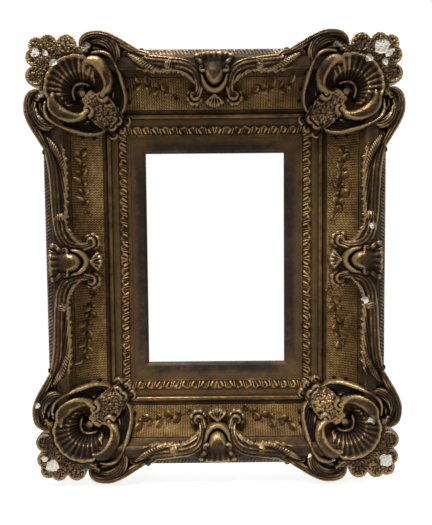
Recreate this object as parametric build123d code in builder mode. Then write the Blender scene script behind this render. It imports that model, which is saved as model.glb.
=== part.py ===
# Ornate gilded picture frame in the rococo taste: a mitred softwood moulding with a deep cove,
# a separate inner liner, and cast composition ornament glued over both.
# Frame of reference, in millimetres: the back plane is Y = 0, the front faces -Y, +Z is up,
# and X = Z = 0 is the middle of the sight opening.
import os
from math import atan2, cos, degrees, radians, sin

from build123d import *

# Picture and sight
picture_width = 200.0
picture_height = 300.0
picture_clearance = 1.0
sight_width = 190.0
sight_height = 290.0

# Liner section: widths run outwards from the sight edge, heights forwards from the back plane
sight_lip_back = 20.0
sight_edge_height = 24.0
sight_bevel_width = 4.0
sight_bevel_rise = 3.0
liner_flat_width = 16.0
liner_flat_rise = 3.5
liner_step = 2.5
leaf_strip_width = 13.5
leaf_strip_rise = 5.0
leaf_strip_thickness = 2.6
liner_visible_width = 44.0
liner_flange_width = 9.5
liner_back_height = 10.0
liner_fit = 0.3

# Outer moulding section
moulding_width = 128.0
lip_thickness = 2.7
bead_radius = 3.5
bead_margin = 2.0
cove_radius = 48.0
cove_angle = 78.0
cove_floor_rise = 1.0
ridge_width = 14.0
ridge_round = 3.0
edge_slope_drop = 12.0
edge_lip_depth = 5.0
undercut_width = 9.0
undercut_depth = 20.0
back_taper = 3.0

# Thin composition runs laid on the moulding
panel_thickness = 1.5
panel_start_angle = 3.5
panel_end_angle = 58.0
edge_strip_bulge = 3.2
edge_strip_margin = 0.8

# Corner joints
key_length = 46.0
key_width = 7.0
key_depth = 6.0
key_corner_share = 0.62
nail_radius = 1.2
nail_length = 62.0
nail_spacing = 16.0
nail_first_height = 14.0
nail_bore_clearance = 0.05
nail_recess = 1.0
brad_radius = 0.9
brad_length = 24.0
brad_showing = 12.0
brad_gap = 0.1
brad_place_share = 0.55

# Corner castings: places are shares of corner_span, measured inwards from the outer corner
corner_span = 120.0
hub_share = (0.43, 0.43)
hub_height = 72.0
hub_radius = 9.0
shell_inner_radius = 7.0
shell_radius = 45.0
shell_rim_height = 88.0
shell_foot_height = 40.0
shell_brim_height = 62.0
shell_brim_share = 0.65
shell_sweep_angle = 150.0
flute_count = 11
flute_root_radius = 2.2
flute_tip_radius = 4.6
lobe_radius = 12.0
lobe_height = 77.0
lobe_root_radius = 11.0
lobe_place_shares = [(0.3, -0.03), (0.14, -0.02), (0.01, 0.01), (-0.02, 0.14), (-0.03, 0.3)]
scroll_eye_radius = 10.0
scroll_rim_radius = 6.0
scroll_height = 80.0
scroll_foot_height = 64.0
scroll_plate_height = 78.0
scroll_eye_share = (0.5, -0.02)
scroll_apex_share = (0.7, -0.14)
scroll_end_share = (1.0, 0.0)
scroll_plate_shares = [(0.5, -0.06), (0.58, -0.13), (0.7, -0.16), (0.86, -0.09), (1.02, 0.0), (0.8, 0.1), (0.5, 0.08)]
crescent_radius = 5.4
crescent_high = 84.0
crescent_mid = 74.0
crescent_low = 58.0
crescent_start_share = (0.5, 0.12)
crescent_mid_share = (0.74, 0.22)
crescent_end_share = (0.82, 0.42)
volute_share = (0.69, 0.48)
volute_radius = 8.0
volute_height = 56.0
curl_share = (0.9, 0.5)
curl_radius = 5.0
curl_height = 52.0
web_foot_height = 36.0
web_height = 56.0
web_shares = [(0.3, 0.3), (0.5, 0.12), (0.74, 0.22), (0.84, 0.42), (0.8, 0.6), (0.6, 0.6)]
leaf_tip_share = (0.86, 0.86)
leaf_tip_height = 42.0
leaf_root_radius = 11.0
leaf_tip_radius = 4.0
leaf_lobe_share = (0.9, 0.76)
leaf_lobe_radius = 5.5
leaf_lobe_height = 42.0
leaf_taper_share = 0.8
knob_share = (1.1, 0.03)
knob_radius = 5.5
knob_height = 76.0

# Swept reeded runs on the ridge, from the corner scroll to the centre casting
sweep_radius = 5.0
sweep_rise = 0.5
sweep_edge_inset = 6.0
sweep_edge_drop = 7.0
sweep_mid_share = 0.45
sweep_centre_reach = 46.0

# Centre casting of each side: places run along the side and outwards from the sight edge
boss_place = 93.0
boss_radius = 11.0
boss_height = 84.0
boss_tip_place = 119.0
boss_tip_height = 82.0
petal_count = 5
petal_root_radius = 5.0
petal_tip_radius = 5.6
petal_reach = 26.0
petal_fan_angle = 116.0
knob_spread = 20.0
centre_knob_radius = 5.0
centre_scroll_reach = 52.0
centre_scroll_radius = 5.2
centre_scroll_low_place = 68.0
centre_scroll_low_height = 58.0
centre_scroll_low_spread = 27.0
centre_scroll_mid_place = 88.0
centre_scroll_mid_height = 78.0
centre_scroll_mid_spread = 36.0
centre_scroll_end_height = 86.0
centre_eye_radius = 7.5
small_shell_place = 80.0
small_shell_height = 66.0
small_shell_reach = 24.0
small_shell_tip_height = 52.0
small_shell_rib_count = 5
small_shell_rib_radius = 4.4
small_shell_fan_angle = 110.0

# Foliate sprays in the cove
spray_start = 42.0
spray_length_side = 96.0
spray_length_end = 54.0
spray_low_angle = 14.0
spray_high_angle = 36.0
spray_stem_radius = 1.8
spray_stem_taper_share = 0.98
spray_leaf_radius = 4.6
spray_leaf_spacing = 9.0
spray_leaf_offset = 4.0
spray_flower_radius = 5.6

# Hanging hardware, let into the back of the side rails
hanger_height = 96.0
pocket_depth = 6.0
pocket_width = 27.0
pocket_margin = 3.0
plate_width = 13.0
plate_length = 42.0
plate_thickness = 1.5
ring_wire_radius = 1.2
ring_axis_rise = 3.0
ring_bar_length = 19.0
ring_drop = 13.0
knuckle_wall = 0.9
knuckle_bore_clearance = 0.1
knuckle_width = 11.0
screw_radius = 1.6
screw_head_radius = 3.2
screw_head_depth = 1.4
screw_length = 15.0
screw_pitch = 16.0
screw_end_margin = 7.0
screw_slot_width = 0.8
screw_slot_depth = 0.7
screw_bore_clearance = 0.05

overrun = 40.0
seat_overlap = 2.0
crumb_share = 0.05
joint_swell_share = 1.08

# Places worked out from the sizes above
half_sight_width = sight_width / 2
half_sight_height = sight_height / 2
lap_width = (picture_width - sight_width) / 2 + picture_clearance
lap_height = (picture_height - sight_height) / 2 + picture_clearance
bevel_top = sight_edge_height + sight_bevel_rise
flat_end = sight_bevel_width + liner_flat_width
flat_top = bevel_top + liner_flat_rise
strip_start = flat_end + liner_step
strip_low = flat_top + liner_step
strip_end = strip_start + leaf_strip_width
liner_top = strip_low + leaf_strip_rise
liner_outer = liner_visible_width + liner_flange_width
rebate_edge = liner_outer + liner_fit
lip_underside = liner_top + liner_fit
bead_base = lip_underside + lip_thickness
bead_end = liner_visible_width + 2 * bead_radius
cove_start = bead_end + bead_margin
cove_floor = bead_base + cove_floor_rise
cove_centre_height = cove_floor + cove_radius
cove_end = cove_start + cove_radius * sin(radians(cove_angle))
cove_top = cove_centre_height - cove_radius * cos(radians(cove_angle))
ridge_top = cove_top + ridge_round
ridge_end = cove_end + ridge_round + ridge_width
edge_top = ridge_top - ridge_round
edge_bottom = edge_top - edge_slope_drop
undercut_place = moulding_width - undercut_width
back_edge = undercut_place - back_taper
hanger_x = half_sight_width + (rebate_edge + back_edge) / 2
half_outer_width = half_sight_width + moulding_width
half_outer_height = half_sight_height + moulding_width
ridge_centre = (cove_end + ridge_end) / 2

side_names = ["top", "right", "bottom", "left"]
outward = {"top": (0, 1), "right": (1, 0), "bottom": (0, -1), "left": (-1, 0)}


# Geometry shared by every run of moulding
def half_sight(side):
    """Distance from the middle of the opening to the sight edge on that side."""
    return half_sight_height if side in ("top", "bottom") else half_sight_width


def section_plane(side):
    """Plane across a side's moulding: local x runs outwards from the sight edge, local y forwards."""
    out_x, out_z = outward[side]
    centre = half_sight(side)
    return Plane(origin=(out_x * centre, 0, out_z * centre), x_dir=(out_x, 0, out_z), z_dir=(out_z, 0, -out_x))


def mitre_prism(side):
    """Wedge of space that belongs to one side, between the two mitre planes."""
    out_x, out_z = outward[side]
    inner = half_sight(side) - min(half_sight_width, half_sight_height) / 2
    outer = half_sight(side) + moulding_width + overrun
    along = half_outer_width + half_outer_height - half_sight(side) - moulding_width
    step_in = half_sight(side) + moulding_width - inner
    corners = [
        (-(along - step_in), inner),
        (-(along + overrun), outer),
        (along + overrun, outer),
        (along - step_in, inner),
    ]
    points = [(a * out_z + b * out_x, b * out_z - a * out_x) for a, b in corners]
    with BuildPart() as prism:
        with BuildSketch(Plane.XZ.offset(-overrun)):
            with BuildLine():
                Polyline(*points, close=True)
            make_face()
        extrude(amount=half_outer_height)
    return prism.part


mitre_prisms = {side: mitre_prism(side) for side in side_names}


def moulding_run(side, draw_section, label):
    """One mitred length of a section; draw_section draws the closed outline in the section plane."""
    with BuildPart() as run:
        with BuildSketch(section_plane(side)):
            with BuildLine():
                draw_section()
            make_face()
        extrude(amount=half_outer_height + overrun, both=True)
        add(mitre_prisms[side], mode=Mode.INTERSECT)
    run.part.label = label
    return run.part


def liner_section(lap):
    """Inner liner: picture rebate, bevelled sight lip, flat, and the ground for the leaf strip."""
    Polyline((0, sight_lip_back), (0, sight_edge_height), (sight_bevel_width, bevel_top), (flat_end, flat_top),
             (flat_end, strip_low), (strip_start, strip_low), (strip_end, liner_top), (liner_outer, liner_top),
             (liner_outer, liner_back_height), (lap, liner_back_height), (lap, sight_lip_back), close=True)


def leaf_strip_crown():
    """Highest point of the rounded leaf strip."""
    slope = atan2(leaf_strip_rise, leaf_strip_width)
    return ((strip_start + strip_end) / 2 - leaf_strip_thickness * sin(slope),
            (strip_low + liner_top) / 2 + leaf_strip_thickness * cos(slope))


def leaf_strip_section():
    """Leaf-tip run: a low rounded strip on the sloping ground of the liner."""
    Line((strip_start, strip_low), (strip_end, liner_top))
    ThreePointArc((strip_end, liner_top), leaf_strip_crown(), (strip_start, strip_low))


def cove_point(angle_degrees, radius):
    """Point of the cove at an angle up from its floor, on a circle of that radius about its centre."""
    angle = radians(angle_degrees)
    return (cove_start + radius * sin(angle), cove_centre_height - radius * cos(angle))


def cove_arc(first_angle, last_angle, radius):
    """Arc of the cove between two angles."""
    middle = (first_angle + last_angle) / 2
    ThreePointArc(cove_point(first_angle, radius), cove_point(middle, radius), cove_point(last_angle, radius))


def cove_panel_section():
    """Thin cast lining of the cove, whose back lies on the wood."""
    face_radius = cove_radius - panel_thickness
    cove_arc(panel_start_angle, panel_end_angle, cove_radius)
    Line(cove_point(panel_end_angle, cove_radius), cove_point(panel_end_angle, face_radius))
    cove_arc(panel_end_angle, panel_start_angle, face_radius)
    Line(cove_point(panel_start_angle, face_radius), cove_point(panel_start_angle, cove_radius))


def edge_strip_points():
    """Start, crown and end of the gadrooned strip's rounded face."""
    slope = atan2(edge_slope_drop, moulding_width - ridge_end)
    start = (ridge_end + edge_strip_margin * cos(slope), edge_top - edge_strip_margin * sin(slope))
    end = (moulding_width - edge_strip_margin * cos(slope), edge_bottom + edge_strip_margin * sin(slope))
    crown = ((start[0] + end[0]) / 2 + edge_strip_bulge * sin(slope),
             (start[1] + end[1]) / 2 + edge_strip_bulge * cos(slope))
    return start, crown, end


def edge_strip_section():
    """Gadrooned outer edge: a rounded strip on the outer slope of the moulding."""
    start, crown, end = edge_strip_points()
    Line(end, start)
    ThreePointArc(start, crown, end)


def outer_side():
    """Outer lip and hollow undercut side, down to the back."""
    Line((moulding_width, edge_bottom), (moulding_width, edge_bottom - edge_lip_depth))
    ThreePointArc((moulding_width, edge_bottom - edge_lip_depth),
                  (undercut_place + undercut_width / 4, edge_bottom - edge_lip_depth - undercut_depth / 3),
                  (undercut_place, edge_bottom - edge_lip_depth - undercut_depth))
    Line((undercut_place, edge_bottom - edge_lip_depth - undercut_depth), (back_edge, 0))


def bead():
    """Round bead inside the cove."""
    ThreePointArc((liner_visible_width, bead_base), (liner_visible_width + bead_radius, bead_base + bead_radius),
                  (bead_end, bead_base))
    Line((bead_end, bead_base), (cove_start, cove_floor))


def rail_section():
    """Outer moulding: rebate, thin lip, bead, cove, ridge, outer slope and undercut side."""
    Polyline((back_edge, 0), (rebate_edge, 0), (rebate_edge, lip_underside), (liner_visible_width, lip_underside),
             (liner_visible_width, bead_base))
    bead()
    cove_arc(0, cove_angle, cove_radius)
    Polyline((cove_end, cove_top), (cove_end + ridge_round, ridge_top), (ridge_end - ridge_round, ridge_top),
             (ridge_end, edge_top), (moulding_width, edge_bottom))
    outer_side()


def ground_section():
    """Outline of the whole moulding with its thin runs, which the castings are cut to."""
    start, crown, end = edge_strip_points()
    face_radius = cove_radius - panel_thickness
    Polyline((back_edge, 0), (0, 0), (0, sight_edge_height), (sight_bevel_width, bevel_top), (flat_end, flat_top),
             (flat_end, strip_low), (strip_start, strip_low))
    ThreePointArc((strip_start, strip_low), leaf_strip_crown(), (strip_end, liner_top))
    Polyline((strip_end, liner_top), (liner_visible_width, liner_top), (liner_visible_width, bead_base))
    bead()
    cove_arc(0, panel_start_angle, cove_radius)
    Line(cove_point(panel_start_angle, cove_radius), cove_point(panel_start_angle, face_radius))
    cove_arc(panel_start_angle, panel_end_angle, face_radius)
    Line(cove_point(panel_end_angle, face_radius), cove_point(panel_end_angle, cove_radius))
    cove_arc(panel_end_angle, cove_angle, cove_radius)
    Polyline((cove_end, cove_top), (cove_end + ridge_round, ridge_top), (ridge_end - ridge_round, ridge_top),
             (ridge_end, edge_top), start)
    ThreePointArc(start, crown, end)
    Line(end, (moulding_width, edge_bottom))
    outer_side()


# Nails, brads, keys and screws are placed first, because the wood is bored for them
def nail_places():
    """Start point and direction of each nail, driven from the side rail's edge through the mitre."""
    places = []
    for sign_x in (-1, 1):
        for sign_z in (-1, 1):
            for i in range(2):
                start = (sign_x * (half_sight_width + back_edge - nail_recess),
                         -(nail_first_height + i * nail_spacing),
                         sign_z * (half_sight_height + (rebate_edge + back_edge) / 2))
                places.append((start, (-sign_x, 0, 0)))
    return places


def brad_places():
    """Outer end and direction of each brad that holds the liner in its rebate, two to a side."""
    places = []
    for side in side_names:
        out_x, out_z = outward[side]
        other = half_sight_width if side in ("top", "bottom") else half_sight_height
        distance = half_sight(side) + rebate_edge + brad_length - brad_showing
        for sign in (-1, 1):
            along = sign * other * brad_place_share
            start = (out_x * distance + out_z * along, -(liner_back_height - brad_radius - brad_gap),
                     out_z * distance + out_x * along)
            places.append((start, (-out_x, 0, -out_z)))
    return places


def screw_places():
    """Head centre and direction of each hanger screw, two to a plate."""
    return [((sign * hanger_x, -(pocket_depth - plate_thickness),
              hanger_height - screw_end_margin - i * screw_pitch), (0, -1, 0))
            for sign in (-1, 1) for i in range(2)]


def rods(places, radius, length, lead=0):
    """Plain round rods, one for each start point and direction, drawn out backwards by lead."""
    with BuildPart() as made:
        for start, direction in places:
            with Locations(Plane(origin=start, z_dir=direction).offset(-lead).location):
                Cylinder(radius, length + lead, align=(Align.CENTER, Align.CENTER, Align.MIN))
    return made.part


def key_boxes():
    """Hardwood keys let into the back across each mitre."""
    place = rebate_edge + (back_edge - rebate_edge) * key_corner_share
    with BuildPart() as keys:
        for sign_x in (-1, 1):
            for sign_z in (-1, 1):
                middle = (sign_x * (half_sight_width + place), -key_depth / 2, sign_z * (half_sight_height + place))
                with Locations(Location(middle, (0, 45 * sign_x * sign_z, 0))):
                    Box(key_length, key_depth, key_width)
    return keys.part


def wooden_rail(side):
    """One mitred rail with its key slots, nail and brad bores and, on the sides, the hanger pockets."""
    run = moulding_run(side, rail_section, "rail")
    with BuildPart() as rail:
        add(run)
        add(key_boxes(), mode=Mode.SUBTRACT)
        add(rods(nail_places(), nail_radius + nail_bore_clearance, nail_length, undercut_width), mode=Mode.SUBTRACT)
        add(rods(brad_places(), brad_radius + nail_bore_clearance, brad_length), mode=Mode.SUBTRACT)
        if side in ("left", "right"):
            add(rods(screw_places(), screw_radius + screw_bore_clearance, screw_length), mode=Mode.SUBTRACT)
            top = hanger_height + ring_drop + ring_wire_radius + pocket_margin
            bottom = hanger_height - plate_length - pocket_margin
            for sign in (-1, 1):
                with Locations((sign * hanger_x, -pocket_depth / 2, (top + bottom) / 2)):
                    Box(pocket_width, pocket_depth, top - bottom, mode=Mode.SUBTRACT)
    return rail.part


def hanger_screws():
    """Countersunk slotted screws that hold the hanger plates."""
    with BuildPart() as screws:
        for start, direction in screw_places():
            place = Plane(origin=start, z_dir=direction)
            with Locations(place.location):
                Cone(screw_head_radius, screw_radius, screw_head_depth, align=(Align.CENTER, Align.CENTER, Align.MIN))
                Cylinder(screw_radius, screw_length, align=(Align.CENTER, Align.CENTER, Align.MIN))
                Box(screw_head_radius * 2, screw_slot_width, screw_slot_depth * 2, mode=Mode.SUBTRACT)
    return screws.part


def hanger_plates(screws):
    """Two strap plates, each rolled round its ring's bar and lying on the floor of its pocket."""
    axis_y = -(pocket_depth - ring_axis_rise)
    with BuildPart() as plates:
        for sign in (-1, 1):
            with Locations((sign * hanger_x, -(pocket_depth - plate_thickness / 2),
                            hanger_height - plate_length / 2)):
                Box(plate_width, plate_thickness, plate_length)
            with Locations(Location((sign * hanger_x, axis_y, hanger_height), (0, 90, 0))):
                Cylinder(ring_wire_radius + knuckle_bore_clearance + knuckle_wall, knuckle_width)
                Cylinder(ring_wire_radius + knuckle_bore_clearance, plate_width, mode=Mode.SUBTRACT)
        add(screws, mode=Mode.SUBTRACT)
    return plates.part


def hanger_ring(sign):
    """D-ring whose straight bar turns in the knuckle; it hangs down over its plate."""
    axis_y = -(pocket_depth - ring_axis_rise)
    ends = [(sign * hanger_x + end * ring_bar_length / 2, axis_y, hanger_height) for end in (-1, 1)]
    with BuildPart() as ring:
        tube((ends[0], (sign * hanger_x, axis_y, hanger_height - ring_drop), ends[1]), ring_wire_radius)
        with Locations(Location((sign * hanger_x, axis_y, hanger_height), (0, 90, 0))):
            Cylinder(ring_wire_radius, ring_bar_length)
        for end in ends:
            ball(end, ring_wire_radius * joint_swell_share)
    return ring.part


ground_top = moulding_run("top", ground_section, "ground")
ground_right = moulding_run("right", ground_section, "ground")


# Forms that the castings are made of; each is called inside a casting's own block
def horn(start, end, start_radius, end_radius):
    """Tapered rod between two points."""
    direction = Vector(end) - Vector(start)
    with Locations(Plane(origin=start, z_dir=direction).location):
        Cone(start_radius, end_radius, direction.length, align=(Align.CENTER, Align.CENTER, Align.MIN))


def ball(point, radius):
    """Round boss at a point."""
    with Locations(Location(point)):
        Sphere(radius)


def tube(points, radius):
    """Round rod that curves through three points, turned about the centre of their arc."""
    with BuildLine() as path:
        ThreePointArc(*points)
    arc = path.edge()
    centre = arc.arc_center
    normal = (arc @ 0 - centre).cross(arc % 0)
    with BuildSketch(Plane(origin=arc @ 0, z_dir=arc % 0)) as profile:
        Circle(radius)
    revolve(profile.sketch, axis=Axis(centre, normal), revolution_arc=degrees(arc.length / arc.radius))


def slab(corners, foot, top):
    """Flat plate between two heights above the back plane."""
    with BuildSketch(Plane.XZ.offset(foot)) as outline:
        with BuildLine():
            Polyline(*corners, close=True)
        make_face()
    extrude(outline.sketch, amount=top - foot)


def cast(form, neighbours):
    """A casting cut to the moulding under it and the castings it meets, less the crumbs of the cut."""
    with BuildPart() as cut:
        add(form)
        for tool in neighbours:
            add(tool, mode=Mode.SUBTRACT)
    kept = [solid for solid in cut.part.solids() if solid.volume > crumb_share * cut.part.volume]
    with BuildPart() as casting:
        for solid in kept:
            add(solid)
    return casting.part


# Corner castings, made over the top right corner and mirrored to the other three
def corner_point(share, height, swapped=False):
    """Point over the top right corner; swapped moves it from the top rail's arm to the side rail's."""
    along, down = (share[1], share[0]) if swapped else share
    return (half_outer_width - along * corner_span, -height, half_outer_height - down * corner_span)


def corner_outline(shares, swapped=False):
    """Corner places as points of a sketch on Plane.XZ."""
    points = [corner_point(share, 0, swapped) for share in shares]
    return [(x, z) for x, y, z in points]


def corner_shell():
    """Fluted concave shell that fans from its hub towards the outer corner."""
    hub = corner_point(hub_share, 0)
    first_angle = 45 - shell_sweep_angle / 2
    with BuildPart() as shell:
        with BuildSketch(Plane(origin=hub, x_dir=(cos(radians(first_angle)), 0, sin(radians(first_angle))),
                               z_dir=(-sin(radians(first_angle)), 0, cos(radians(first_angle))))):
            with BuildLine():
                brim = shell_radius * shell_brim_share
                Polyline((0, -shell_foot_height), (brim, -shell_foot_height), (brim, -shell_brim_height),
                         (shell_radius, -shell_brim_height), (shell_radius, -shell_rim_height),
                         (shell_inner_radius, -hub_height), (0, -hub_height), close=True)
            make_face()
        revolve(axis=Axis(hub, (0, -1, 0)), revolution_arc=shell_sweep_angle)
        for i in range(flute_count):
            angle = radians(first_angle + shell_sweep_angle * (i + 0.5) / flute_count)
            away = (cos(angle), sin(angle))
            horn((hub[0] + shell_inner_radius * away[0], -hub_height, hub[2] + shell_inner_radius * away[1]),
                 (hub[0] + shell_radius * away[0], -shell_rim_height, hub[2] + shell_radius * away[1]),
                 flute_root_radius, flute_tip_radius)
        ball((hub[0], -hub_height, hub[2]), hub_radius)
    return shell.part


def corner_rim():
    """Pebbled rocaille lobes round the shell's outer rim."""
    with BuildPart() as rim:
        for share in lobe_place_shares:
            top = corner_point(share, lobe_height)
            root_share = tuple((place + hub) / 2 for place, hub in zip(share, hub_share))
            ball(top, lobe_radius)
            horn(top, corner_point(root_share, scroll_foot_height), lobe_root_radius, lobe_root_radius / 2)
    return rim.part


def corner_scrolls():
    """Pair of C-scrolls that flank the shell and run out onto the straight edges."""
    with BuildPart() as scrolls:
        for swapped in (False, True):
            eye = corner_point(scroll_eye_share, scroll_height, swapped)
            apex = corner_point(scroll_apex_share, scroll_height, swapped)
            end = corner_point(scroll_end_share, scroll_height, swapped)
            tube((eye, apex, end), scroll_rim_radius)
            ball(eye, scroll_eye_radius)
            ball(end, scroll_rim_radius * joint_swell_share)
            ball(corner_point(knob_share, knob_height, swapped), knob_radius)
            slab(corner_outline(scroll_plate_shares, swapped), scroll_foot_height, scroll_plate_height)
    return scrolls.part


def corner_leaf():
    """Crescents, volutes and leaf that fill the cove on the inner side of the shell."""
    with BuildPart() as leaf:
        slab(corner_outline(web_shares + [(b, a) for a, b in reversed(web_shares[1:-1])]),
             web_foot_height, web_height)
        horn(corner_point(hub_share, web_height), corner_point(leaf_tip_share, leaf_tip_height),
             leaf_root_radius, leaf_tip_radius)
        ball(corner_point(leaf_tip_share, leaf_tip_height), leaf_tip_radius * joint_swell_share)
        for swapped in (False, True):
            end = corner_point(crescent_end_share, crescent_low, swapped)
            volute = corner_point(volute_share, volute_height, swapped)
            tube((corner_point(crescent_start_share, crescent_high, swapped),
                  corner_point(crescent_mid_share, crescent_mid, swapped), end), crescent_radius)
            ball(end, crescent_radius * joint_swell_share)
            horn(end, volute, crescent_radius, crescent_radius - seat_overlap)
            ball(volute, volute_radius)
            for share, height, radius in [(curl_share, curl_height, curl_radius),
                                          (leaf_lobe_share, leaf_lobe_height, leaf_lobe_radius)]:
                ball(corner_point(share, height, swapped), radius)
                horn(corner_point(web_shares[4], web_foot_height, swapped), corner_point(share, height, swapped),
                     leaf_root_radius, radius * leaf_taper_share)
    return leaf.part


# Runs and sprays of the top right quarter, and the castings in the middle of the sides
def side_point(side, along, place, height):
    """Point beside a side's middle: along the side, outwards from the sight edge, and forwards."""
    out_x, out_z = outward[side]
    distance = half_sight(side) + place
    return (out_x * distance + abs(out_z) * along, -height, out_z * distance + abs(out_x) * along)


def sweep_run(side):
    """Reeded run that leaves the corner scroll at the edge and curls up beside the centre casting."""
    other = half_outer_width if side == "top" else half_outer_height
    far = other - corner_span
    start = side_point(side, far, moulding_width - sweep_edge_inset / 2, ridge_top - sweep_edge_drop)
    middle_along = sweep_centre_reach + (far - sweep_centre_reach) * (1 - sweep_mid_share)
    middle = side_point(side, middle_along, ridge_end - sweep_edge_inset, ridge_top + sweep_rise)
    end = side_point(side, sweep_centre_reach, ridge_centre, ridge_top + sweep_rise)
    with BuildPart() as run:
        tube((start, middle, end), sweep_radius)
        ball(end, sweep_radius * joint_swell_share)
    return run.part


def centre_boss(side):
    """Smooth boss whose petals flare towards the outer edge, with a knob on either side."""
    with BuildPart() as boss:
        root = side_point(side, 0, boss_place, boss_height)
        ball(root, boss_radius)
        for i in range(petal_count):
            angle = radians(petal_fan_angle * (i / (petal_count - 1) - 0.5))
            tip = side_point(side, petal_reach * sin(angle), boss_place + petal_reach * cos(angle), boss_tip_height)
            horn(root, tip, petal_root_radius, petal_tip_radius)
            ball(tip, petal_tip_radius * joint_swell_share)
        for sign in (-1, 1):
            ball(side_point(side, sign * knob_spread, boss_tip_place, boss_tip_height), centre_knob_radius)
    return boss.part


def centre_shell(side):
    """Small fluted shell in the cove, with the S-scrolls that climb from it to the ridge."""
    with BuildPart() as shell:
        root = side_point(side, 0, small_shell_place, small_shell_height)
        for i in range(small_shell_rib_count):
            angle = radians(small_shell_fan_angle * (i / (small_shell_rib_count - 1) - 0.5))
            tip = side_point(side, small_shell_reach * sin(angle), small_shell_place - small_shell_reach * cos(angle),
                             small_shell_tip_height)
            horn(root, tip, small_shell_rib_radius / 2, small_shell_rib_radius)
            ball(tip, small_shell_rib_radius * joint_swell_share)
        for sign in (-1, 1):
            low = side_point(side, sign * centre_scroll_low_spread, centre_scroll_low_place, centre_scroll_low_height)
            middle = side_point(side, sign * centre_scroll_mid_spread, centre_scroll_mid_place,
                                centre_scroll_mid_height)
            high = side_point(side, sign * centre_scroll_reach, ridge_centre, centre_scroll_end_height)
            tube((low, middle, high), centre_scroll_radius)
            ball(low, centre_eye_radius)
            ball(high, centre_eye_radius)
            horn(root, low, centre_scroll_radius, centre_scroll_radius - seat_overlap)
    return shell.part


def spray(side, length):
    """Stem with paired leaves and an end flower, pressed into the cove."""
    face_radius = cove_radius - panel_thickness
    count = int(length / spray_leaf_spacing)
    with BuildPart() as twig:
        points = []
        for i in range(count + 1):
            place, height = cove_point(spray_low_angle + (spray_high_angle - spray_low_angle) * i / count, face_radius)
            points.append(side_point(side, spray_start + length * i / count, place, height))
        for i in range(count):
            horn(points[i], points[i + 1], spray_stem_radius, spray_stem_radius * spray_stem_taper_share)
            sign = 1 if i % 2 else -1
            angle = spray_low_angle + (spray_high_angle - spray_low_angle) * i / count
            turn = degrees(spray_leaf_offset / face_radius)
            place, height = cove_point(angle + sign * turn, face_radius)
            ball(side_point(side, spray_start + length * i / count, place, height), spray_leaf_radius)
        ball(points[-1], spray_flower_radius)
    return twig.part


def mirrored(shape, flip_x, flip_z):
    """The same casting on the left half, the lower half or both."""
    with BuildPart() as turned:
        add(shape)
        if flip_x:
            mirror(about=Plane.YZ, mode=Mode.REPLACE)
        if flip_z:
            mirror(about=Plane.XY, mode=Mode.REPLACE)
    return turned.part


def turned_over(shape, symmetry_plane):
    """A symmetric casting turned over about its own middle plane."""
    with BuildPart() as turned:
        add(shape)
        mirror(about=symmetry_plane, mode=Mode.REPLACE)
    return turned.part


def symmetric_copy(shape, symmetry_plane, flip_x, flip_z):
    """A symmetric casting in any quarter, always as a single mirror image of the first."""
    base = shape if flip_x != flip_z else turned_over(shape, symmetry_plane)
    return mirrored(base, flip_x, flip_z)


def on_side(shape, side):
    """The centre casting of the right side carried to any side, each as one mirror image of the first."""
    mirrors = {"right": Plane.XY, "left": Plane.YZ, "top": Plane((0, 0, 0), z_dir=(1, 0, -1)),
               "bottom": Plane((0, 0, 0), z_dir=(1, 0, 1))}
    shift = outward[side][1] * (half_sight_height - half_sight_width)
    turned = turned_over(shape, mirrors[side])
    with BuildPart() as carried:
        add(turned.moved(Location((0, 0, shift))))
    return carried.part


# Make every piece and write it out
os.makedirs("parts", exist_ok=True)


def save(shape, name):
    """Label a finished piece and write it under its own name."""
    shape.label = name
    export_step(shape, "parts/" + name + ".step")


for side in side_names:
    lap = lap_height if side in ("top", "bottom") else lap_width
    save(wooden_rail(side), "rail_" + side)
    save(moulding_run(side, lambda: liner_section(lap), "liner"), "liner_" + side)
    save(moulding_run(side, leaf_strip_section, "leaf_strip"), "leaf_strip_" + side)
    save(moulding_run(side, cove_panel_section, "cove_panel"), "cove_panel_" + side)
    save(moulding_run(side, edge_strip_section, "edge_strip"), "edge_strip_" + side)

save(key_boxes(), "mitre_keys")
save(rods(nail_places(), nail_radius, nail_length), "mitre_nails")
save(rods(brad_places(), brad_radius, brad_length), "liner_brads")

screw_group = hanger_screws()
save(screw_group, "hanger_screws")
save(hanger_plates(screw_group), "hanger_plates")
save(hanger_ring(-1), "ring_left")
save(hanger_ring(1), "ring_right")

grounds = [ground_top, ground_right]
shell = cast(corner_shell(), grounds)
rim = cast(corner_rim(), grounds + [shell])
scrolls = cast(corner_scrolls(), grounds + [shell, rim])
leaf = cast(corner_leaf(), grounds + [shell, rim, scrolls])
boss_form = cast(centre_boss("right"), [ground_right])
centre_form = cast(centre_shell("right"), [ground_right, boss_form])
boss = {side: on_side(boss_form, side) for side in side_names}
centre = {side: on_side(centre_form, side) for side in side_names}
sweep_half = {}
spray_half = {}
for side, ground, length in (("top", ground_top, spray_length_end), ("right", ground_right, spray_length_side)):
    sweep_half[side] = cast(sweep_run(side), [ground, scrolls, rim, leaf, boss[side], centre[side]])
    spray_half[side] = cast(spray(side, length), [ground, centre[side], leaf, sweep_half[side]])
for side in side_names:
    save(boss[side], "centre_boss_" + side)
    save(centre[side], "centre_shell_" + side)

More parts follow.
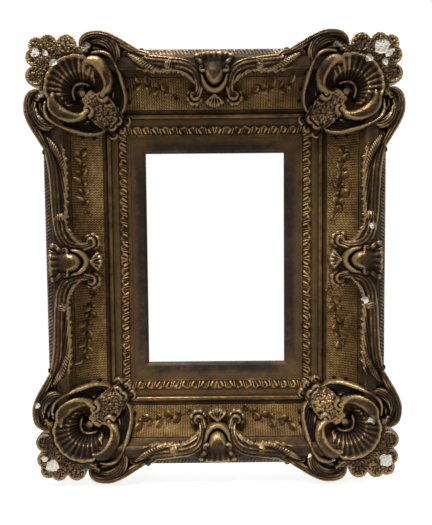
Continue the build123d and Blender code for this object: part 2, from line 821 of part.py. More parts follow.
diagonal = Plane(origin=(half_outer_width, 0, half_outer_height), z_dir=(1, 0, -1))
for flip_z, high in ((False, "top"), (True, "bottom")):
    for flip_x, wide in ((False, "right"), (True, "left")):
        place = high + "_" + wide
        save(symmetric_copy(shell, diagonal, flip_x, flip_z), "corner_shell_" + place)
        save(symmetric_copy(rim, diagonal, flip_x, flip_z), "corner_rim_" + place)
        save(symmetric_copy(scrolls, diagonal, flip_x, flip_z), "corner_scrolls_" + place)
        save(symmetric_copy(leaf, diagonal, flip_x, flip_z), "corner_leaf_" + place)
        save(mirrored(sweep_half["top"], flip_x, flip_z), "sweep_" + high + "_" + wide)
        save(mirrored(sweep_half["right"], flip_x, flip_z), "sweep_" + wide + "_" + high)
with BuildPart() as sprays:
    for flip_x in (False, True):
        for flip_z in (False, True):
            add(mirrored(spray_half["top"], flip_x, flip_z))
            add(mirrored(spray_half["right"], flip_x, flip_z))
save(sprays.part, "cove_sprays")
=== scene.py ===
import bpy
import math
import numpy as np
from mathutils import Matrix, Vector


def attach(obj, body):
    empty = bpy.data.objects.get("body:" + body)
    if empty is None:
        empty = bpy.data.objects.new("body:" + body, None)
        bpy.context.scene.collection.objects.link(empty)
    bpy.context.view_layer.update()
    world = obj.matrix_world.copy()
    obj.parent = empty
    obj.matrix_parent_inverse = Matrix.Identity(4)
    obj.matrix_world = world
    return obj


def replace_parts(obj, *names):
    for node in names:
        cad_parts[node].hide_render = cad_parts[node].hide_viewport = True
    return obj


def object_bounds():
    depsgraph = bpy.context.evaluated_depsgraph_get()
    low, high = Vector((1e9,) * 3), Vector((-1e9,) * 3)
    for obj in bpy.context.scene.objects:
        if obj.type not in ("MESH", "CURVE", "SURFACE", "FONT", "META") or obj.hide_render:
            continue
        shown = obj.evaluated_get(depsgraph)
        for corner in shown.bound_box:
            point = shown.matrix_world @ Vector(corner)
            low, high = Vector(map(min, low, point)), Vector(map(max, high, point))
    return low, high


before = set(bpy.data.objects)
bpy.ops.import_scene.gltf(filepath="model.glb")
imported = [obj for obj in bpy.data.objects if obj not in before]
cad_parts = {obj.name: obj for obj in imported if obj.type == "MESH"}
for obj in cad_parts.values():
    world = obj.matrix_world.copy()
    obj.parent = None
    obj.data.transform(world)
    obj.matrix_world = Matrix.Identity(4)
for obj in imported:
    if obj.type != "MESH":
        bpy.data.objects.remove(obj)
cad_box = [list(corner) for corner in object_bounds()]

# The four rails are pine, moulded in one length, mitred and glued. Their front has gesso and
# bronze-coloured gilding that has gone brown; the undercut sides have an ochre wash, and the
# back and the rebate are bare wood.
sides = ("top", "right", "bottom", "left")
millimetre = 0.001
half_sight = (95.0, 145.0)


def join(tree, value, socket):
    """Feeds a socket from another socket or from a plain value."""
    if hasattr(value, "links"):
        tree.links.new(value, socket)
    else:
        socket.default_value = value


def blend(tree, fac, a, b):
    """Mixes two colours."""
    mix = tree.nodes.new("ShaderNodeMix")
    mix.data_type = "RGBA"
    join(tree, fac, mix.inputs["Factor"])
    for name, value in (("A", a), ("B", b)):
        join(tree, value, [s for s in mix.inputs if s.name == name and s.type == "RGBA"][0])
    return [s for s in mix.outputs if s.type == "RGBA"][0]


def shade(tree, kind, first, second=0.0, third=0.0, clamp=False):
    """Arithmetic on values or sockets."""
    node = tree.nodes.new("ShaderNodeMath")
    node.operation = kind
    node.use_clamp = clamp
    for socket, value in zip(node.inputs, (first, second, third)):
        join(tree, value, socket)
    return node.outputs[0]


def steps(tree, value, stops):
    """Colour or value ramp; stops are (position, value)."""
    ramp = tree.nodes.new("ShaderNodeValToRGB")
    tree.links.new(value, ramp.inputs[0])
    elements = ramp.color_ramp.elements
    while len(elements) < len(stops):
        elements.new(0.5)
    for element, (position, colour) in zip(elements, stops):
        element.position = position
        element.color = tuple(colour) + (1,) if hasattr(colour, "__len__") else (colour, colour, colour, 1)
    return ramp.outputs[0]


def between(tree, value, low, high):
    """1 where a value lies between two limits, 0 elsewhere."""
    above = shade(tree, "GREATER_THAN", value, low)
    below = shade(tree, "LESS_THAN", value, high)
    return shade(tree, "MULTIPLY", above, below)


def place_on(tree):
    """X, Y and Z of the place on the piece, in metres."""
    place = tree.nodes.new("ShaderNodeTexCoord")
    apart = tree.nodes.new("ShaderNodeSeparateXYZ")
    tree.links.new(place.outputs["Object"], apart.inputs[0])
    return apart.outputs


def beyond_sight(tree):
    """How far a place lies outside the sight opening sideways, and how far up or down, in metres."""
    place = place_on(tree)
    return [shade(tree, "SUBTRACT", shade(tree, "ABSOLUTE", place[axis]), half * millimetre)
            for axis, half in zip("XZ", half_sight)]


def faces_wall(tree):
    """1 on the back of a piece, where its wood is bare."""
    facing = tree.nodes.new("ShaderNodeNewGeometry")
    apart = tree.nodes.new("ShaderNodeSeparateXYZ")
    tree.links.new(facing.outputs["Normal"], apart.inputs[0])
    return shade(tree, "GREATER_THAN", apart.outputs["Y"], 0.6)


def spots(tree, scale, detail=6.0, rough=0.6, stretch=(1, 1, 1)):
    """Cloudy noise fixed to the piece, about 0 to 1."""
    place = tree.nodes.new("ShaderNodeTexCoord")
    turned = tree.nodes.new("ShaderNodeMapping")
    turned.inputs["Scale"].default_value = stretch
    tree.links.new(place.outputs["Object"], turned.inputs[0])
    noise = tree.nodes.new("ShaderNodeTexNoise")
    noise.inputs["Scale"].default_value = scale
    noise.inputs["Detail"].default_value = detail
    noise.inputs["Roughness"].default_value = rough
    tree.links.new(turned.outputs[0], noise.inputs["Vector"])
    return noise.outputs["Fac"]


def finish(name, roughness=0.5, metallic=0.0, specular=0.5):
    """New material with its node tree and its shader."""
    made = bpy.data.materials.new(name)
    made.use_nodes = True
    paint = made.node_tree.nodes["Principled BSDF"]
    paint.inputs["Roughness"].default_value = roughness
    paint.inputs["Metallic"].default_value = metallic
    paint.inputs["Specular IOR Level"].default_value = specular
    return made, made.node_tree, paint


def dent(tree, paint, height, strength, distance):
    """Fine unevenness of a surface."""
    bump = tree.nodes.new("ShaderNodeBump")
    bump.inputs["Strength"].default_value = strength
    bump.inputs["Distance"].default_value = distance
    join(tree, height, bump.inputs["Height"])
    tree.links.new(bump.outputs[0], paint.inputs["Normal"])


def wear(tree, start):
    """Level from dirt at 0 to rubbed gold at 1: clouds of some scales and amounts about a start, plus any
    painted shade and highlights in the start.
    """
    level = start
    for scale, detail, rough, amount in wear_clouds:
        about_middle = shade(tree, "SUBTRACT", spots(tree, scale, detail, rough), 0.5)
        level = shade(tree, "MULTIPLY_ADD", about_middle, amount, level)
    return shade(tree, "ADD", level, 0.0, clamp=True)


def wood_grain(tree):
    """Colour of old pine, with its grain along the rail."""
    wide, high = beyond_sight(tree)
    upright = shade(tree, "GREATER_THAN", wide, high)
    lying = steps(tree, spots(tree, 60, 6, 0.6, (0.08, 1, 1)), wood_tones)
    standing = steps(tree, spots(tree, 60, 6, 0.6, (1, 1, 0.08)), wood_tones)
    return blend(tree, upright, lying, standing)


def dress(node_name, material):
    """Gives a piece of the frame its finish."""
    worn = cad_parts[node_name].data.materials
    worn.clear()
    worn.append(material)


wear_clouds = ((28, 8, 0.65, 1.0), (9, 3, 0.6, 0.5), (130, 5, 0.7, 0.7), (700, 3, 0.6, 0.4))
wood_tones = [(0.3, (0.150, 0.088, 0.043)), (0.5, (0.260, 0.165, 0.085)), (0.7, (0.370, 0.250, 0.140))]
flat_tones = [(0.10, (0.008, 0.0045, 0.0024)), (0.35, (0.026, 0.0145, 0.0065)),
              (0.55, (0.060, 0.0340, 0.0130)), (0.80, (0.120, 0.0700, 0.0250)),
              (1.00, (0.210, 0.1300, 0.0500))]
wash_tones = [(0.3, (0.060, 0.033, 0.013)), (0.7, (0.150, 0.088, 0.034))]
bead_from, bead_to = 43.8 * millimetre, 51.2 * millimetre
bare_cove_from, bare_cove_to = 92.5 * millimetre, 101.0 * millimetre
gilded_from_depth = -61.5 * millimetre
lip_from_depth = -22.5 * millimetre
lip_reach = 110.0 * millimetre
rail_wear, bead_highlight, cove_rubbed = 0.38, 0.26, 0.15
rail_metal, bead_metal, bead_polish = 0.35, 0.5, -0.14

rail_finish, tree, paint = finish("gilded_rail", specular=0.15)
from_sight = shade(tree, "MAXIMUM", *beyond_sight(tree))
on_bead = between(tree, from_sight, bead_from, bead_to)
on_bare_cove = between(tree, from_sight, bare_cove_from, bare_cove_to)
# A highlight is painted along the bead: its level is raised there, on top of its lower roughness and extra
# metal.
wear_and_bead_highlight = shade(tree, "MULTIPLY_ADD", on_bead, bead_highlight, rail_wear)
level = wear(tree, shade(tree, "MULTIPLY_ADD", on_bare_cove, cove_rubbed, wear_and_bead_highlight))
wash = steps(tree, spots(tree, 35, 6), wash_tones)
depth = place_on(tree)["Y"]
front_part = shade(tree, "LESS_THAN", depth, gilded_from_depth)
lip_part = shade(tree, "MULTIPLY", shade(tree, "LESS_THAN", depth, lip_from_depth),
                 shade(tree, "LESS_THAN", from_sight, lip_reach))
gilded = shade(tree, "MAXIMUM", front_part, lip_part)
painted = blend(tree, gilded, wash, steps(tree, level, flat_tones))
tree.links.new(blend(tree, faces_wall(tree), painted, wood_grain(tree)), paint.inputs["Base Color"])
smoothed = shade(tree, "MULTIPLY_ADD", on_bead, bead_polish, steps(tree, level, [(0.1, 0.7), (0.8, 0.42)]))
tree.links.new(smoothed, paint.inputs["Roughness"])
gold_share = shade(tree, "MULTIPLY_ADD", on_bead, bead_metal, rail_metal)
tree.links.new(shade(tree, "MULTIPLY", gilded, gold_share), paint.inputs["Metallic"])
dent(tree, paint, spots(tree, 260, 6), 0.3, 0.0006)
for side in sides:
    dress("rail_" + side, rail_finish)

# Hardwood keys are let into the back of each mitre, and cut nails cross it. Brads hold the
# liner in the rails from behind. Keys are beech; nails and brads are iron gone dull brown.
beech_tones = [(0.3, (0.160, 0.090, 0.042)), (0.7, (0.330, 0.210, 0.110))]
iron_tones = [(0.35, (0.045, 0.030, 0.022)), (0.65, (0.130, 0.110, 0.095))]
key_wood, tree, paint = finish("key_wood", 0.65)
tree.links.new(steps(tree, spots(tree, 90, 6, 0.6, (1, 1, 0.2)), beech_tones), paint.inputs["Base Color"])
dent(tree, paint, spots(tree, 300, 4), 0.3, 0.0004)
iron, tree, paint = finish("old_iron", 0.55, 0.7)
tree.links.new(steps(tree, spots(tree, 500, 5), iron_tones), paint.inputs["Base Color"])
dent(tree, paint, spots(tree, 900, 4), 0.4, 0.0002)
dress("mitre_keys", key_wood)
dress("mitre_nails", iron)
dress("liner_brads", iron)

# The liner is a flat inner frame of four mitred strips of pine, held in the rails by the brads.
# It is dark brown from old bronze paint, with the gold still showing at its mitres and along its
# outer edge.
bronze_tones = [(0.1, (0.008, 0.0060, 0.005)), (0.45, (0.026, 0.0165, 0.0105)), (0.8, (0.080, 0.050, 0.025))]
old_gold = (0.120, 0.0680, 0.0230, 1)
liner_wear = 0.43

liner_finish, tree, paint = finish("dark_liner", metallic=0.2, specular=0.15)
level = wear(tree, liner_wear)
wide, high = [shade(tree, "ABSOLUTE", place_on(tree)[axis]) for axis in "XZ"]
near_mitre = shade(tree, "MULTIPLY",
                   steps(tree, shade(tree, "MULTIPLY", wide, 8.0), [(0.58, 0.0), (0.82, 1.0)]),
                   steps(tree, shade(tree, "MULTIPLY", high, 5.0), [(0.60, 0.0), (0.78, 1.0)]))
from_sight = shade(tree, "MAXIMUM", *beyond_sight(tree))
at_edge = steps(tree, shade(tree, "MULTIPLY", from_sight, 30.0), [(0.30, 0.0), (0.54, 0.85)])
gold_left = shade(tree, "MULTIPLY", shade(tree, "MAXIMUM", near_mitre, at_edge),
                  steps(tree, level, [(0.1, 0.3), (0.6, 1.0)]))
painted = blend(tree, gold_left, steps(tree, level, bronze_tones), old_gold)
tree.links.new(blend(tree, faces_wall(tree), painted, wood_grain(tree)), paint.inputs["Base Color"])
tree.links.new(steps(tree, level, [(0.1, 0.55), (0.8, 0.38)]), paint.inputs["Roughness"])
dent(tree, paint, spots(tree, 320), 0.25, 0.0004)
for side in sides:
    dress("liner_" + side, liner_finish)

# Three runs are pressed from paste in long strips, glued down and mitred: leaf tips on the
# liner's slope, crossed cuts that line the cove, and gadroons on the outer edge. The gilding
# stays bright on them, with dirt in the cuts. The run in the cove has painted shade, darker
# towards the ridge.
moulding_width = 128.0
cove_centre, cove_radius = (53, 90), 48
along_step = 0.8
panel_lift, panel_thickness, strip_thickness = 1.1, 1.2, 0.6
run_relief_gain = 1.6
hollow_range = (-16.0, 7.0)


def named_value(tree, name):
    """Number kept at each point of a piece; 0 where the piece has none."""
    node = tree.nodes.new("ShaderNodeAttribute")
    node.attribute_name = name
    return node.outputs["Fac"]


def gilding(name, start, tones, relief_gain, hollow_gain, metal):
    """Old gilding: dirt in the cuts, gold on what stands up, painted shade and highlights, chalk where the
    paste is chipped.
    """
    made, tree, paint = finish(name, specular=0.12)
    start = shade(tree, "MULTIPLY_ADD", named_value(tree, "recess"), relief_gain, start)
    # The hollow field paints light and shade: darker in broad hollows and up the cove panel, paler on the
    # painted highlights.
    start = shade(tree, "MULTIPLY_ADD", named_value(tree, "hollow"), hollow_gain, start)
    level = wear(tree, start)
    chipped = steps(tree, named_value(tree, "chip"), [(0.45, 0.0), (0.55, 1.0)])
    chalk = steps(tree, spots(tree, 500, 5), chalk_tones)
    tree.links.new(blend(tree, chipped, steps(tree, level, tones), chalk), paint.inputs["Base Color"])
    sheen = steps(tree, level, [(0.15, 0.80), (0.55, 0.50), (0.9, 0.34)])
    chalk_sheen = shade(tree, "MULTIPLY", chipped, 0.8)
    tree.links.new(shade(tree, "MAXIMUM", sheen, chalk_sheen), paint.inputs["Roughness"])
    gold_share = steps(tree, level, [(0.3, 0.0), (0.8, metal)])
    unchipped = shade(tree, "SUBTRACT", 1.0, chipped)
    tree.links.new(shade(tree, "MULTIPLY", gold_share, unchipped), paint.inputs["Metallic"])
    pits = shade(tree, "ADD", spots(tree, 420, 5), spots(tree, 120, 6, 0.7))
    dent(tree, paint, pits, 0.5, 0.0010)
    return made


chalk_tones = [(0.3, (0.60, 0.55, 0.46)), (0.7, (0.84, 0.80, 0.72))]
run_tones = [(0.05, (0.006, 0.003, 0.0014)), (0.35, (0.040, 0.020, 0.0055)),
             (0.60, (0.118, 0.062, 0.0165)), (0.85, (0.220, 0.130, 0.0400)),
             (1.00, (0.340, 0.220, 0.0900))]
cast_tones = [(0.02, (0.0022, 0.0012, 0.0007)), (0.30, (0.0080, 0.0043, 0.0019)),
              (0.52, (0.0230, 0.0124, 0.0052)), (0.74, (0.0520, 0.0293, 0.0116)),
              (0.90, (0.1050, 0.0630, 0.0250)), (1.00, (0.2200, 0.1450, 0.0650))]
# The cove panel is painted darker across it towards the ridge: painted shade under the ridge.
panel_gilding = gilding("cove_gilding", 0.70, run_tones, 0.48, -0.23, 0.35)
leaf_gilding = gilding("leaf_gilding", 0.44, run_tones, 0.60, 0.0, 0.6)
edge_gilding = gilding("edge_gilding", 0.60, cast_tones, 0.40, 0.0, 0.5)


def round_arc(centre, radius, start, end, count):
    """Points of an arc of the moulding's section; angles are measured up from straight down."""
    angles = np.radians(np.linspace(start, end, count))
    return [(centre[0] + radius * math.sin(a), centre[1] - radius * math.cos(a)) for a in angles]


def blurred(field, cells):
    """Field smoothed over about that many cells each way."""
    out = field.copy()
    width = 2 * cells + 1
    for _ in range(2):
        for axis in (0, 1):
            margin = [(cells + 1, cells) if k == axis else (0, 0) for k in (0, 1)]
            total = np.cumsum(np.pad(out, margin, "edge"), axis)
            front = np.take(total, range(width, total.shape[axis]), axis)
            back = np.take(total, range(0, total.shape[axis] - width), axis)
            out = (front - back) / width
    return out


def side_carrier(side, hand=1):
    """Carries places along and outwards from a side's sight edge to the frame's X and Z."""
    out = {"top": (0, 1), "right": (1, 0), "bottom": (0, -1), "left": (-1, 0)}[side]
    far = half_sight[0] if out[0] else half_sight[1]

    def carry(a, b):
        return out[0] * (far + b) + abs(out[1]) * hand * a, out[1] * (far + b) + abs(out[0]) * hand * a
    return carry, (out[0] - out[1]) * hand > 0


def closed_mesh(name, corners, faces, turned, fields, material):
    """Gilt piece of the given corners and four-cornered faces that rides on the frame."""
    if turned:
        faces = faces[:, ::-1]
    mesh = bpy.data.meshes.new(name)
    mesh.vertices.add(len(corners))
    mesh.vertices.foreach_set("co", (corners * millimetre).astype(np.float32).ravel())
    mesh.loops.add(faces.size)
    mesh.loops.foreach_set("vertex_index", faces.astype(np.int32).ravel())
    mesh.polygons.add(len(faces))
    mesh.polygons.foreach_set("loop_start", np.arange(0, faces.size, 4, dtype=np.int32))
    mesh.polygons.foreach_set("loop_total", np.full(len(faces), 4, np.int32))
    mesh.update(calc_edges=True)
    mesh.validate()
    for field_name, values in fields.items():
        layer = mesh.attributes.new(field_name, "FLOAT", "POINT")
        behind = np.full(len(values), hollow_range[1] if field_name == "hollow" else 0.0)
        layer.data.foreach_set("value", np.concatenate([values, behind]).astype(np.float32))
    mesh.shade_smooth()
    mesh.materials.append(material)
    piece = bpy.data.objects.new(name, mesh)
    bpy.context.scene.collection.objects.link(piece)
    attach(piece, "frame")
    return piece


def lay_run(name, side, points, pattern, material, thickness):
    """Mitred strip that follows a section; pattern gives the relief from places along and across."""
    points = np.array(points, float)
    across = np.concatenate([[0], np.cumsum(np.linalg.norm(np.diff(points, axis=0), axis=1))])
    slope = np.gradient(points, axis=0)
    normal = np.stack([-slope[:, 1], slope[:, 0]], 1)
    normal /= np.linalg.norm(normal, axis=1)[:, None]
    carry, turned = side_carrier(side)
    half = half_sight[1 if side in ("left", "right") else 0]
    share = np.linspace(-1, 1, int(2 * (half + points[:, 0].mean()) / along_step))[:, None]
    along = share * (half + points[None, :, 0])
    rise = pattern(along, np.broadcast_to(across, along.shape))
    free = np.ones(len(points))
    free[0] = free[-1] = 0
    lifted = points[None] + normal[None] * (rise * free)[..., None]
    sunk = np.broadcast_to(points - normal * thickness, lifted.shape)
    corners = []
    for layer in (lifted, sunk):
        X, Z = carry(along, layer[..., 0])
        corners.append(np.stack([X, -layer[..., 1], Z], -1).reshape(-1, 3))
    n, m = along.shape
    index = np.arange(n * m).reshape(n, m)
    quad = np.stack([index[:-1, :-1], index[1:, :-1], index[1:, 1:], index[:-1, 1:]], -1).reshape(-1, 4)
    loop = np.concatenate([index[:, 0], index[-1, 1:], index[-2::-1, -1], index[0, -2::-1]])
    edge = np.stack([loop[1:], loop[:-1], loop[:-1] + n * m, loop[1:] + n * m], 1)
    faces = np.vstack([quad, quad[:, ::-1] + n * m, edge])
    # A run's hollow field goes from 0 at its side towards the sight to 1 at its outer side; on the cove panel
    # it becomes painted shade.
    fields = {"recess": run_relief_gain * (rise - blurred(rise, 3)).ravel(),
              "hollow": np.tile(across / across[-1], n),
              "chip": chip_mask(*carry(along, points[None, :, 0])).ravel()}
    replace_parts(closed_mesh(name, np.vstack(corners), faces, turned, fields, material), name)


chips = [(-226, 266, 6), (-213, 265, 3.5), (-203, 253, 5), (-162, 274, 4.5), (-219, 215, 4), (156, 273, 4.5),
         (212, 270, 9), (221, 263, 6), (196, 256, 5), (216, 251, 4), (-219, -200, 4), (-234, -186, 3.5),
         (-218, -268, 8), (-228, -258, 4), (222, -265, 8), (153, -267, 4), (200, -211, 3.5), (120, -257, 3),
         (193, -52, 4.5), (201, 45, 4), (214, -3, 3)]


def chip_mask(X, Z):
    """1 where the paste is chipped, 0 outside, with a ragged edge; a chip is an X, a Z and a radius."""
    ragged = 0.30 * np.sin(X * 0.5 + 1.3 * np.sin(Z * 0.5)) + 0.25 * np.sin(Z * 0.6 + 1.1 * np.sin(X * 0.6))
    mask = np.zeros(np.broadcast(X, Z).shape)
    for x, z, radius in chips:
        mask = np.maximum(mask, 1.5 - np.hypot(X - x, Z - z) / radius + 0.4 * ragged)
    return np.clip(mask, 0, 1)


def hatch(along, across):
    """Wavy cuts that cross the cove, with a second set aslant that breaks them into scales."""
    zigzag = 1.1 * np.abs((across / 4.2) % 1.0 * 2 - 1)
    cut = np.abs(np.sin(math.pi * (along + 1.6 * zigzag) / 3.3))
    slant = np.abs(np.sin(math.pi * (across + 0.3 * along) / 4.2))
    return 0.95 * np.minimum(cut, 0.45 + slant) ** 0.8 - 0.7


def leaf_tips(along, across):
    """Curling leaf that runs both ways from the middle of the side, with slanted lobes under its edge."""
    leaf_pitch = 12.6
    along = np.abs(along)
    y = across / across.max()
    edge_line = 0.74 + 0.10 * np.sin(along * 2 * math.pi / leaf_pitch)
    crest = np.exp(-((y - edge_line) / 0.085) ** 2)
    lobe = np.cos(2 * math.pi * (along - 5.0 * y + 1.1 * np.sin(along * 0.5)) / 4.4)
    body = np.clip((edge_line - y) * 9, 0, 1) * np.clip(y * 5 - 0.5, 0, 1)
    gap = np.cos(2 * math.pi * (along - 7.0 * y) / leaf_pitch)
    lip = np.exp(-((y - 0.05) / 0.05) ** 2)
    lively = 0.75 + 0.25 * np.sin(along * 0.31) * np.sin(along * 0.83 + 1.0)
    form = body * (0.9 + 1.0 * np.maximum(lobe, -0.7) - 2.2 * np.clip(gap - 0.5, 0, 1))
    return lively * (0.95 * crest + form) + 0.5 * lip


def gadroons(along, across):
    """Slanting rounded lobes under a scalloped edge."""
    lobe_pitch, scallop_pitch = 4.6, 10.5
    x = ((along + 0.35 * across) / lobe_pitch) % 1.0 * 2 - 1
    y = across / across.max()
    lobes = np.sqrt(np.clip(1 - x ** 2, 0, 1)) * np.sin(math.pi * np.clip(y, 0, 1)) ** 0.7
    scallop = np.abs(np.sin(math.pi * along / scallop_pitch)) * np.exp(-((y - 0.8) / 0.14) ** 2)
    return 1.5 * lobes + 0.8 * scallop


panel_points = round_arc(cove_centre, cove_radius - panel_lift, 3.5, 58, 62)
leaf_points = np.linspace((22.5, 33.3), (36, 38.3), 19)
edge_points = np.linspace((117.4, 79.4), (127.3, 68.5), 17)
for side in sides:
    lay_run("cove_panel_" + side, side, panel_points, hatch, panel_gilding, panel_thickness)
    lay_run("leaf_strip_" + side, side, leaf_points, leaf_tips, leaf_gilding, strip_thickness)
    lay_run("edge_strip_" + side, side, edge_points, gadroons, edge_gilding, strip_thickness)

# The castings at each corner are pressed from chalk, glue and resin in carved moulds, glued over
# the mitre and gilded. All four corners come from one mould, so a corner is drawn once, in
# millimetres inwards from the outer corner of the straight edges, as heights above the back.
cast_gilding = gilding("cast_gilding", 0.36, cast_tones, 0.30, 0.026, 0.6)
section_points = ([(0, 24), (4, 27), (20, 30.5), (20.01, 33), (22.5, 33), (36, 38), (44, 38), (44.01, 41)]
                  + round_arc((47.5, 41), 3.5, -90, -270, 12)[1:] + [(53, 42)]
                  + round_arc(cove_centre, cove_radius, 0, 78, 40)
                  + [(103, 83), (114, 83), (117, 80), (122.5, 76), (128, 68)])
no_casting = -50.0
casting_thickness, casting_sunk = 2.6, 1.0
least_rise, least_thickness = 0.15, 0.3
chip_least, chip_depth = 0.5, 2.5
# Heads of the upper crescents where a highlight is painted pale, each an X, a Z and a radius.
highlight_heads = ((-154, 252, 11), (160, 252, 10))
highlight_gain = 22


def moulding_height(t):
    """Height of the bare moulding in front of its back, by distance outwards from the sight edge."""
    places, heights = np.array(section_points).T
    return np.where(t > moulding_width, 0.0, np.interp(t, places, heights))


def smooth_line(points):
    """Dense points of a curve through given points (place, place, height, half width)."""
    p = np.array(points, float)
    q = np.vstack([2 * p[0] - p[1], p, 2 * p[-1] - p[-2]])
    dense = []
    for a, b, c, d in zip(q[:-3], q[1:-2], q[2:-1], q[3:]):
        count = max(2, int(np.linalg.norm(c[:2] - b[:2]) / along_step))
        s = np.linspace(0, 1, count, endpoint=False)[:, None]
        dense.append(0.5 * (2 * b + (c - a) * s + (2 * a - 5 * b + 4 * c - d) * s ** 2
                            + (3 * b - a - 3 * c + d) * s ** 3))
    return np.vstack(dense + [q[-2][None, :]])


class Plot:
    """A patch of the moulding seen from the front, on which castings are modelled as heights."""

    def __init__(self, low, high, step=0.8):
        self.a = np.arange(low[0], high[0] + step, step)
        self.b = np.arange(low[1], high[1] + step, step)
        self.A, self.B = np.meshgrid(self.a, self.b, indexing="ij")

    def bed(self, outward, edge, edge_floor):
        """Puts the moulding under the plot; past its edge a casting ends at a floor of its own."""
        self.ground = moulding_height(outward)
        self.outside = outward > edge
        self.edge_floor = edge_floor

    def blank(self):
        return np.full(self.A.shape, no_casting)

    def along(self, points):
        """Window round a curve, with distance, side, length along, height and half width."""
        line = smooth_line(points)
        reach = line[:, 3].max() + 1.0
        lo, hi = line[:, :2].min(0) - reach, line[:, :2].max(0) + reach
        i = np.nonzero((self.a >= lo[0]) & (self.a <= hi[0]))[0]
        j = np.nonzero((self.b >= lo[1]) & (self.b <= hi[1]))[0]
        window = np.ix_(i, j)
        A, B = self.A[window], self.B[window]
        best = np.full(A.shape, 1e9)
        pick = np.zeros(A.shape, int)
        for k in range(len(line)):
            d = (A - line[k, 0]) ** 2 + (B - line[k, 1]) ** 2
            closer = d < best
            best[closer] = d[closer]
            pick[closer] = k
        step = np.vstack([line[1:, :2] - line[:-1, :2], line[-1:, :2] - line[-2:-1, :2]])
        length = np.concatenate([[0], np.cumsum(np.linalg.norm(step[:-1], axis=1))])
        side = np.sign(step[pick, 0] * (B - line[pick, 1]) - step[pick, 1] * (A - line[pick, 0]))
        return window, np.sqrt(best), side, length[pick], line[pick, 2], line[pick, 3]


def raise_to(heights, window, new, inside):
    """Keeps the higher of what is there and the new form, inside the form's outline."""
    heights[window] = np.where(inside, np.maximum(heights[window], new), heights[window])


def rod(plot, heights, points, rise=1.0, reeds=0, reed_depth=0.0, twist=0.0, twist_depth=0.0):
    """Rounded rod along a curve; reeds run along it and twists across it."""
    window, d, side, s, h, r = plot.along(points)
    x = np.clip(d / r, 0, 1)
    form = h + r * rise * np.sqrt(1 - x ** 2)
    if reeds:
        form += reed_depth * np.cos(side * x * math.pi * reeds)
    if twist:
        form += twist_depth * np.cos(2 * math.pi * (s + 0.8 * side * d) / twist)
    raise_to(heights, window, form, d <= r)


def flange(plot, heights, points, inner, outer, ribs=0.0, rib_depth=0.0, hollow=0.0, lobes=0.0):
    """Concave leaf or C along a curve: inner and outer are the edge heights above the line's own."""
    window, d, side, s, h, r = plot.along(points)
    if lobes:
        r = r * (1 - 0.16 * np.abs(np.cos(math.pi * s / lobes)))
    x = np.clip(side * d / r, -1, 1)
    form = h + np.where(x < 0, outer * x ** 2, inner * x ** 2) - hollow * (1 - x ** 2)
    if ribs:
        form += rib_depth * np.cos(2 * math.pi * (d * side - 0.12 * s) / ribs)
    raise_to(heights, window, form, d <= r)


def button(plot, heights, place, radius, height, rise=1.0):
    """Rounded boss; height is that of its widest part."""
    d = np.hypot(plot.A - place[0], plot.B - place[1])
    form = height + rise * radius * np.sqrt(np.clip(1 - (d / radius) ** 2, 0, 1))
    np.copyto(heights, np.maximum(heights, form), where=d < radius)


def curl(plot, heights, centre, radius, height, start, hand, width):
    """Volute that winds in to a small eye; start is its outer end's angle in degrees."""
    points = []
    for k in range(9):
        angle = math.radians(start + hand * 50 * k)
        reach = radius * (1 - k / 10.5)
        place = (centre[0] + reach * math.cos(angle), centre[1] + reach * math.sin(angle))
        points.append(place + (height + 0.25 * k, width * (1 - k / 16)))
    rod(plot, heights, points)
    button(plot, heights, centre, radius * 0.36, height + 1.5)


def grain(plot, size, seed):
    """Rounded pebbles of about that size, from 0 in the joints to 1 on their crowns."""
    repeat = 128
    jitter = np.random.default_rng(seed).random((repeat, repeat, 2)) * 0.8 + 0.1
    ia = np.floor(plot.A / size).astype(int)
    ib = np.floor(plot.B / size).astype(int)
    first = np.full(plot.A.shape, 9.0)
    for da in (-1, 0, 1):
        for db in (-1, 0, 1):
            ca, cb = ia + da, ib + db
            j = jitter[ca % repeat, cb % repeat]
            d = np.hypot(plot.A / size - ca - j[..., 0], plot.B / size - cb - j[..., 1])
            first = np.minimum(first, d)
    return np.clip(1 - (first / 0.72) ** 2, 0, 1)


def painted_highlights(X, Z):
    """1 on the heads of the upper crescents, where a highlight is painted pale, 0 elsewhere."""
    mask = np.zeros(np.broadcast(X, Z).shape)
    for x, z, radius in highlight_heads:
        mask = np.maximum(mask, np.clip(1.6 - np.hypot((X - x) * 0.8, Z - z) / radius, 0, 1))
    return mask


